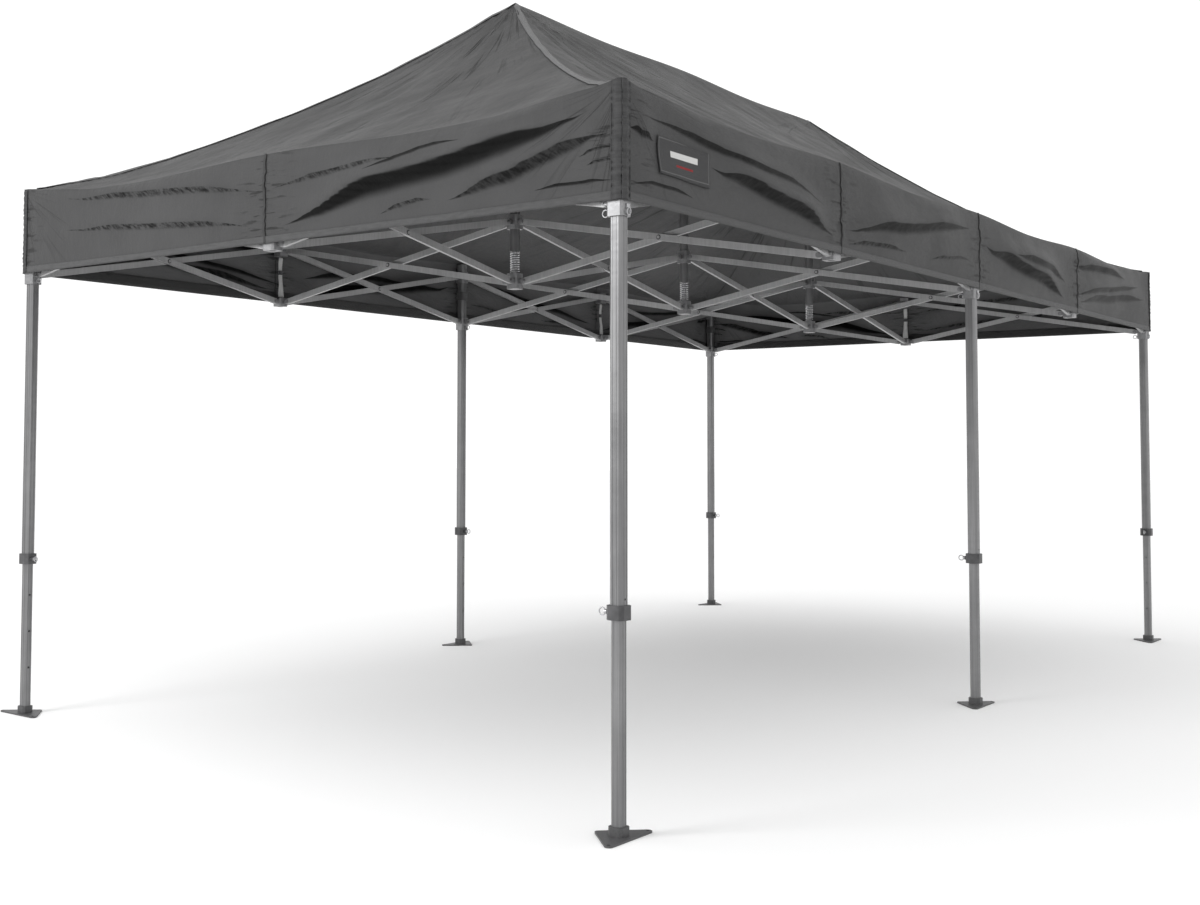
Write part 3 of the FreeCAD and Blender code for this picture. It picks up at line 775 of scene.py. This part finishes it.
def past_corner(point):
    """Whether a point of the cut lies in one of the four corner squares that are cut away."""
    return abs(point.x) > HALF_X and abs(point.y) > HALF_Y


def crumple_with_fold(piece):
    """Gives the piece a mesh of its own."""
    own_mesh(piece)


cover = make_cover()
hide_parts("canopy")
COVER_HOLDERS = [f"ridge_post_{column}" for column in (2, 3, 4)]
COVER_HOLDERS += [f"column_{column}_upper_legs" for column in (1, 5)]
crumple_with_fold(cover)


# ---- trim sewn on the cover -----------------------------------------------------
def strip(bm, u, v, lift):
    """Adds a band of cloth through rows of cut positions, lying on the cover at that lift."""
    rows, columns = u.shape
    part = grid_mesh(columns - 1, rows - 1)
    i, j = (k.astype(int) for k in vertex_grid(part))
    lifts = np.broadcast_to(lift, u.shape)[j, i]
    points = cover_points(u[j, i], v[j, i], lifts)
    place_vertices(part, points)
    join(bm, part)


def join(bm, part):
    """Moves a finished bmesh into another."""
    mesh = bpy.data.meshes.new("part")
    part.to_mesh(mesh)
    part.free()
    bm.from_mesh(mesh)
    bpy.data.meshes.remove(mesh)


def sewn(name, bm, finish, thick, offset=1):
    """Finishes a band of cloth on the cover: its thickness and what it was cut from."""
    bmesh.ops.remove_doubles(bm, verts=bm.verts, dist=0.00005)
    bmesh.ops.recalc_face_normals(bm, faces=bm.faces)
    piece = new_piece(name, bm, "column_3")
    paint(piece, finish)
    cloth = piece.modifiers.new("cloth", "SOLIDIFY")
    cloth.thickness = thick
    cloth.offset = offset
    crumple_with_fold(piece)


def side_cut(side, along, drop):
    """Cut positions of points of a side's valance, given along it and down from the eave."""
    sign = {"left": -1, "right": 1, "near": -1, "far": 1}[side]
    if side in ("left", "right"):
        return sign * (HALF_X + drop), along
    return along, sign * (HALF_Y + drop)


def hem_lines(side):
    """The cover's own grid lines along a side, so a band on it bends where the cover does."""
    long_side = side in ("near", "far")
    lines = cut_lines(HALF_X, RIDGE_HALF, RIDGE_CELLS) if long_side else cut_lines(HALF_Y, 0.0, 0)
    half = SIDES[side]["half"]
    return lines[np.abs(lines) <= half + HAIR]


def make_hem(name, finish, top, bottom, lift, thick, corner_gap=0.0):
    """A band round the foot of the valance, stopping corner_gap short of the corners."""
    bm = bmesh.new()
    drops = np.linspace(top, bottom, 4)
    for side in SIDES:
        lines = hem_lines(side)
        lines = lines[np.abs(lines) <= SIDES[side]["half"] - corner_gap + HAIR]
        along, drop = np.meshgrid(lines, drops)
        strip(bm, *side_cut(side, along, drop), lift)
    sewn(name, bm, finish, thick)


def make_corner_strips():
    """Binding down each corner, puckered across by its stitching."""
    bm = bmesh.new()
    width, rows = 0.020, 76
    for end_x in (-1, 1):
        for end_y in (-1, 1):
            for side in ("left" if end_x < 0 else "right", "near" if end_y < 0 else "far"):
                half = SIDES[side]["half"]
                end = end_y if side in ("left", "right") else end_x
                round_corner = np.linspace(half - CORNER_CUT, half, 4)
                places = end * np.concatenate([[half - CORNER_CUT - width], round_corner])
                along, drop = np.meshgrid(places, np.linspace(0.0005, DROP - 0.0005, rows))
                wave = 0.0045 + 0.0018 * ripple(along * 0.5, drop, 0.021, 50)
                strip(bm, *side_cut(side, along, drop), wave)
    sewn("corner_strips", bm, "binding", 0.001, offset=-1)


def tube_along(bm, path, radius, sides=8):
    """A cord of cloth along a path of points."""
    path = np.asarray(path, float)
    part = grid_mesh(len(path) - 1, sides)
    i, j = (k.astype(int) for k in vertex_grid(part))
    ahead = np.gradient(path, axis=0)
    ahead /= np.linalg.norm(ahead, axis=1)[:, None]
    across = np.cross(ahead, (0, 0, 1.0) if abs(ahead[0][2]) < 0.9 else (1.0, 0, 0))
    across /= np.linalg.norm(across, axis=1)[:, None]
    lift = np.cross(across, ahead)
    turn = (j * 2 * math.pi / sides)[:, None]
    place_vertices(part, path[i] + radius * (np.cos(turn) * across[i] + np.sin(turn) * lift[i]))
    bmesh.ops.remove_doubles(part, verts=part.verts, dist=radius * 0.05)
    bmesh.ops.holes_fill(part, edges=part.edges, sides=sides)
    join(bm, part)


def make_hip_seams():
    """Flat felled seams up the four hips, a little lighter than the cover."""
    bm = bmesh.new()
    steps = np.linspace(HALF_Y - CORNER_CUT, 0.0, SLOPE_CELLS)[1:]
    across = np.array([-HIP_SEAM / 2, -0.006, 0.0, 0.006, HIP_SEAM / 2]) * math.sqrt(0.5)
    for end_x in (-1, 1):
        for end_y in (-1, 1):
            step, off = np.meshgrid(steps, across)
            strip(bm, end_x * (step + RIDGE_HALF + off), end_y * np.abs(step - off), 0.0035)
    sewn("hip_seams", bm, "hip_cloth", 0.0012)


def make_piping():
    """Thin rolled piping beside the hip seams and down both edges of each corner strip. Beside the hips
    the dark cord is partly piping and partly painted shade: it gives the dark line of shade along each
    hip's edge.
    """
    bm = bmesh.new()
    steps = np.linspace(HALF_Y - CORNER_CUT, 0.0, SLOPE_CELLS)[1:-1]
    for end_x in (-1, 1):
        for end_y in (-1, 1):
            u = end_x * (steps + RIDGE_HALF - PIPING_OFF)
            v = end_y * (steps + PIPING_OFF)
            tube_along(bm, cover_points(u, v, 0.003), 0.0034)
            for side in ("left" if end_x < 0 else "right", "near" if end_y < 0 else "far"):
                half = SIDES[side]["half"]
                end = end_y if side in ("left", "right") else end_x
                drop = np.linspace(0.004, DROP - 0.002, 40)
                along = np.full_like(drop, end * (half - CORNER_CUT - 0.021))
                tube_along(bm, cover_points(*side_cut(side, along, drop), 0.0035), 0.0022, 6)
    bmesh.ops.recalc_face_normals(bm, faces=bm.faces)
    piece = new_piece("seam_piping", bm, "column_3")
    paint(piece, "binding")
    crumple_with_fold(piece)


def make_name_patch():
    """Woven patch on the near valance with a stitched border and two plain bars."""
    left, right, top, bottom = -2.845, -2.525, 0.130, 0.250
    bm = bmesh.new()
    along, drop = np.meshgrid(np.linspace(left, right, 31), np.linspace(top, bottom, 13))
    u, v = side_cut("near", along, drop)
    strip(bm, u, v, 0.0038)
    patch_map = bm.loops.layers.uv.new("cut")
    for face in bm.faces:
        for loop in face.loops:
            place = loop.vert.co
            loop[patch_map].uv = (place.x - (left + right) / 2, place.z - (EAVE_Z - (top + bottom) / 2))
    sewn("plain_patch", bm, "patch_weave", 0.0016)


def make_valance_seams():
    """Raised felled seams up the valance, one on each short side and three on each long one."""
    bm = bmesh.new()
    for side in SIDES:
        for place in seam_places(side):
            lines = hem_lines(side)
            near = np.argmin(np.abs(lines - place))
            places = [lines[near] + 0.0005, lines[near] + 0.006, lines[near] + 0.012]
            along, drop = np.meshgrid(places, np.linspace(0.0, DROP, DROP_CELLS * 3 + 1))
            strip(bm, *side_cut(side, along, drop), 0.0018)
    seams = sum(len(seam_places(side)) for side in SIDES)
    sewn("valance_seams", bm, "canopy_fabric", 0.0012)


make_hem("hem_band", "hem_cloth", DROP - HEM_DEPTH, DROP, 0.0012, 0.0010)
make_hem("inner_band", "hook_tape", DROP - 0.055, DROP - 0.002, -0.0046, 0.0006, 0.06)
make_corner_strips()
make_hip_seams()
make_piping()
make_name_patch()
make_valance_seams()


# ---- straps and rings on the frame ---------------------------------------------
def hub_strap(column, row_y, facing):
    """Webbing tie hanging from an upper hub, with its buckle, and doubled over at its foot."""
    x = COLUMN_X[column - 1]
    rows = 20
    bm = grid_mesh(4, rows)
    i, j = vertex_grid(bm)
    share = 1 - j / rows
    half = STRAP_HALF + 0.006 * ease((share - 0.55) / 0.45)
    side = (i / 2 - 1) * half
    bow = 0.004 * np.sin(share * 5.1) + 0.0015 * ripple(share * 0.4, i * 0.01, 0.12, column)
    z = STRAP_TOP - share * (STRAP_TOP - STRAP_FOOT)
    if facing == "x":
        place_vertices(bm, np.stack([x + bow, row_y + side, z], axis=-1))
    else:
        place_vertices(bm, np.stack([x + side, row_y + bow, z], axis=-1))
    name = f"hub_strap_{column}_{'middle' if row_y == 0 else 'near' if row_y < 0 else 'far'}"
    strap = new_piece(name, bm, f"column_{column}")
    paint(strap, "light_webbing")
    weave = strap.modifiers.new("cloth", "SOLIDIFY")
    weave.thickness = 0.0022
    weave.offset = 0
    bm = bmesh.new()
    size = (0.010, 0.026, 0.020) if facing == "x" else (0.026, 0.010, 0.020)
    add_box(bm, (x, row_y, BUCKLE_Z), size, 0.0022)
    size = (0.012, 0.030, 0.005) if facing == "x" else (0.030, 0.012, 0.005)
    for gap in (-0.008, 0.008):
        add_box(bm, (x, row_y, BUCKLE_Z + gap), size, 0.0012)
    buckle = new_piece(name + "_buckle", bm, f"column_{column}", smooth=False)
    paint(buckle, "dark_plastic")


def leg_wrap(column, row):
    """Hook-and-loop strap closed round the top of a leg."""
    x, y = COLUMN_X[column - 1], SIDE_ROWS[row]
    bm = bmesh.new()
    ring = bmesh.ops.create_cube(bm, size=1.0)["verts"]
    bmesh.ops.scale(bm, vec=(WRAP_ACROSS, WRAP_ACROSS, WRAP_TALL), verts=ring)
    bmesh.ops.delete(bm, geom=[f for f in bm.faces if abs(f.normal.z) > 0.9], context="FACES")
    corners = [e for e in bm.edges if abs(e.verts[0].co.z - e.verts[1].co.z) > 0.01]
    bmesh.ops.bevel(bm, geom=corners, offset=0.009, affect="EDGES", segments=3, profile=0.5, material=-1)
    bmesh.ops.translate(bm, vec=(x, y, WRAP_Z), verts=bm.verts)
    bmesh.ops.recalc_face_normals(bm, faces=bm.faces)
    wrap = new_piece(f"leg_wrap_{column}_{row}", bm, f"column_{column}", smooth=False)
    paint(wrap, "dark_webbing")
    weave = wrap.modifiers.new("cloth", "SOLIDIFY")
    weave.thickness = 0.002
    weave.offset = 1


def tie_ring(column, row):
    """Ring hanging in a plate on the outer face of a leg's lower hub."""
    x, y = COLUMN_X[column - 1], SIDE_ROWS[row]
    out = math.copysign(1, y)
    bm = bmesh.new()
    add_ring(bm, (x + 0.004, y + out * RING_OUT, RING_HANG), (0.0, 1.0, 0.12), 0.0105, 0.0021)
    plate_centre = (x + 0.004, y + out * PLATE_OUT, RING_HANG + 0.015)
    add_box(bm, plate_centre, (0.017, 0.0036, 0.018), 0.0012)
    ring = new_piece(f"tie_ring_{column}_{row}", bm, f"sliders_{column}")
    paint(ring, "pin_steel")


def post_coil(column):
    """The coil under a ridge post, of round wire, which shortens when the post is pushed down."""
    low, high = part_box(f"post_spring_{column}")
    pitch = (high.z - low.z - 2 * COIL_WIRE) / COIL_TURNS
    bm = bmesh.new()
    ring = bmesh.ops.create_circle(bm, segments=10, radius=COIL_WIRE, cap_ends=True)["verts"]
    bmesh.ops.rotate(bm, cent=(0, 0, 0), matrix=Matrix.Rotation(math.pi / 2, 3, "X"), verts=ring)
    bmesh.ops.translate(bm, vec=((high.x - low.x) / 2 - COIL_WIRE, 0, 0), verts=ring)
    steps = COIL_TURNS * 24
    bmesh.ops.spin(
        bm,
        geom=bm.verts[:] + bm.edges[:] + bm.faces[:],
        cent=(0, 0, 0),
        axis=(0, 0, 1),
        dvec=(0, 0, pitch / 24),
        angle=2 * math.pi * COIL_TURNS,
        steps=steps,
        use_duplicate=False,
    )
    bmesh.ops.translate(bm, vec=(COLUMN_X[column - 1], 0, low.z + COIL_WIRE), verts=bm.verts)
    bmesh.ops.remove_doubles(bm, verts=bm.verts, dist=0.00005)
    bmesh.ops.recalc_face_normals(bm, faces=bm.faces)
    coil = new_piece(f"post_coil_{column}", bm, f"sliders_{column}")
    paint(coil, "spring_steel")
    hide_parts(f"post_spring_{column}")
    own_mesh(coil)


COIL_TURNS, COIL_WIRE = 9, 0.0024
for column in (2, 3, 4):
    post_coil(column)
STRAP_TOP, STRAP_FOOT = 2.128, 1.925
STRAP_WIDE, STRAP_HALF = 0.024, 0.0125
BUCKLE_Z = STRAP_TOP - 0.078
WRAP_Z, WRAP_TALL = 2.055, 0.05
WRAP_ACROSS, WRAP_LONG = 0.0475, 0.175
RING_HANG = 1.868
RING_OUT, PLATE_OUT = 0.0335, 0.0305
for column in (2, 4):
    for row_y in (-BAY, BAY):
        hub_strap(column, row_y, "y")
for column in (1, 5):
    hub_strap(column, 0.0, "x")
for column in LEG_COLUMNS:
    for row in SIDE_ROWS:
        leg_wrap(column, row)
        tie_ring(column, row)


# ---- floor, light, camera ---------------------------------------------------------
def make_stage():
    """A plain pale floor, wider than the view."""
    bm = bmesh.new()
    bmesh.ops.create_grid(bm, x_segments=1, y_segments=1, size=60.0)
    floor = new_piece("floor", bm, None)
    floor.data.materials.append(studio_floor())


def make_light(name, where, aim, size, power):
    """A round soft light at a place, turned to what it lights."""
    lamp = bpy.data.lights.new(name, "AREA")
    lamp.shape = "DISK"
    lamp.size = size
    lamp.energy = power
    holder = bpy.data.objects.new(name, lamp)
    holder.location = where
    holder.rotation_euler = (Vector(aim) - Vector(where)).to_track_quat("-Z", "Y").to_euler()
    bpy.context.scene.collection.objects.link(holder)


def make_world(strength):
    """White light from all round."""
    world = bpy.data.worlds.new("studio_air")
    world.use_nodes = True
    world.node_tree.nodes["Background"].inputs["Color"].default_value = (1, 1, 1, 1)
    world.node_tree.nodes["Background"].inputs["Strength"].default_value = strength
    bpy.context.scene.world = world


def make_camera():
    """Low outside the near left corner, its frame shifted aside rather than turned."""
    lens = bpy.data.cameras.new("view")
    lens.lens = 43.4
    lens.sensor_width = 36.0
    lens.sensor_fit = "HORIZONTAL"
    lens.shift_x = 0.149
    lens.shift_y = -0.0596
    lens.clip_end = 200.0
    holder = bpy.data.objects.new("view", lens)
    holder.location = (-6.706, -3.854, 1.150)
    holder.rotation_euler = Euler([math.radians(a) for a in (92.67, -0.35, -49.81)])
    bpy.context.scene.collection.objects.link(holder)
    bpy.context.scene.camera = holder


make_stage()
make_world(1.12)
make_light("key", (-9.0, 2.0, 4.5), (0, 0, 1.6), 3.0, 300.0)
make_light("top", (0.0, 1.0, 10.0), (0, 0, 0), 6.0, 40.0)
make_camera()
bpy.context.scene.view_settings.view_transform = "Standard"
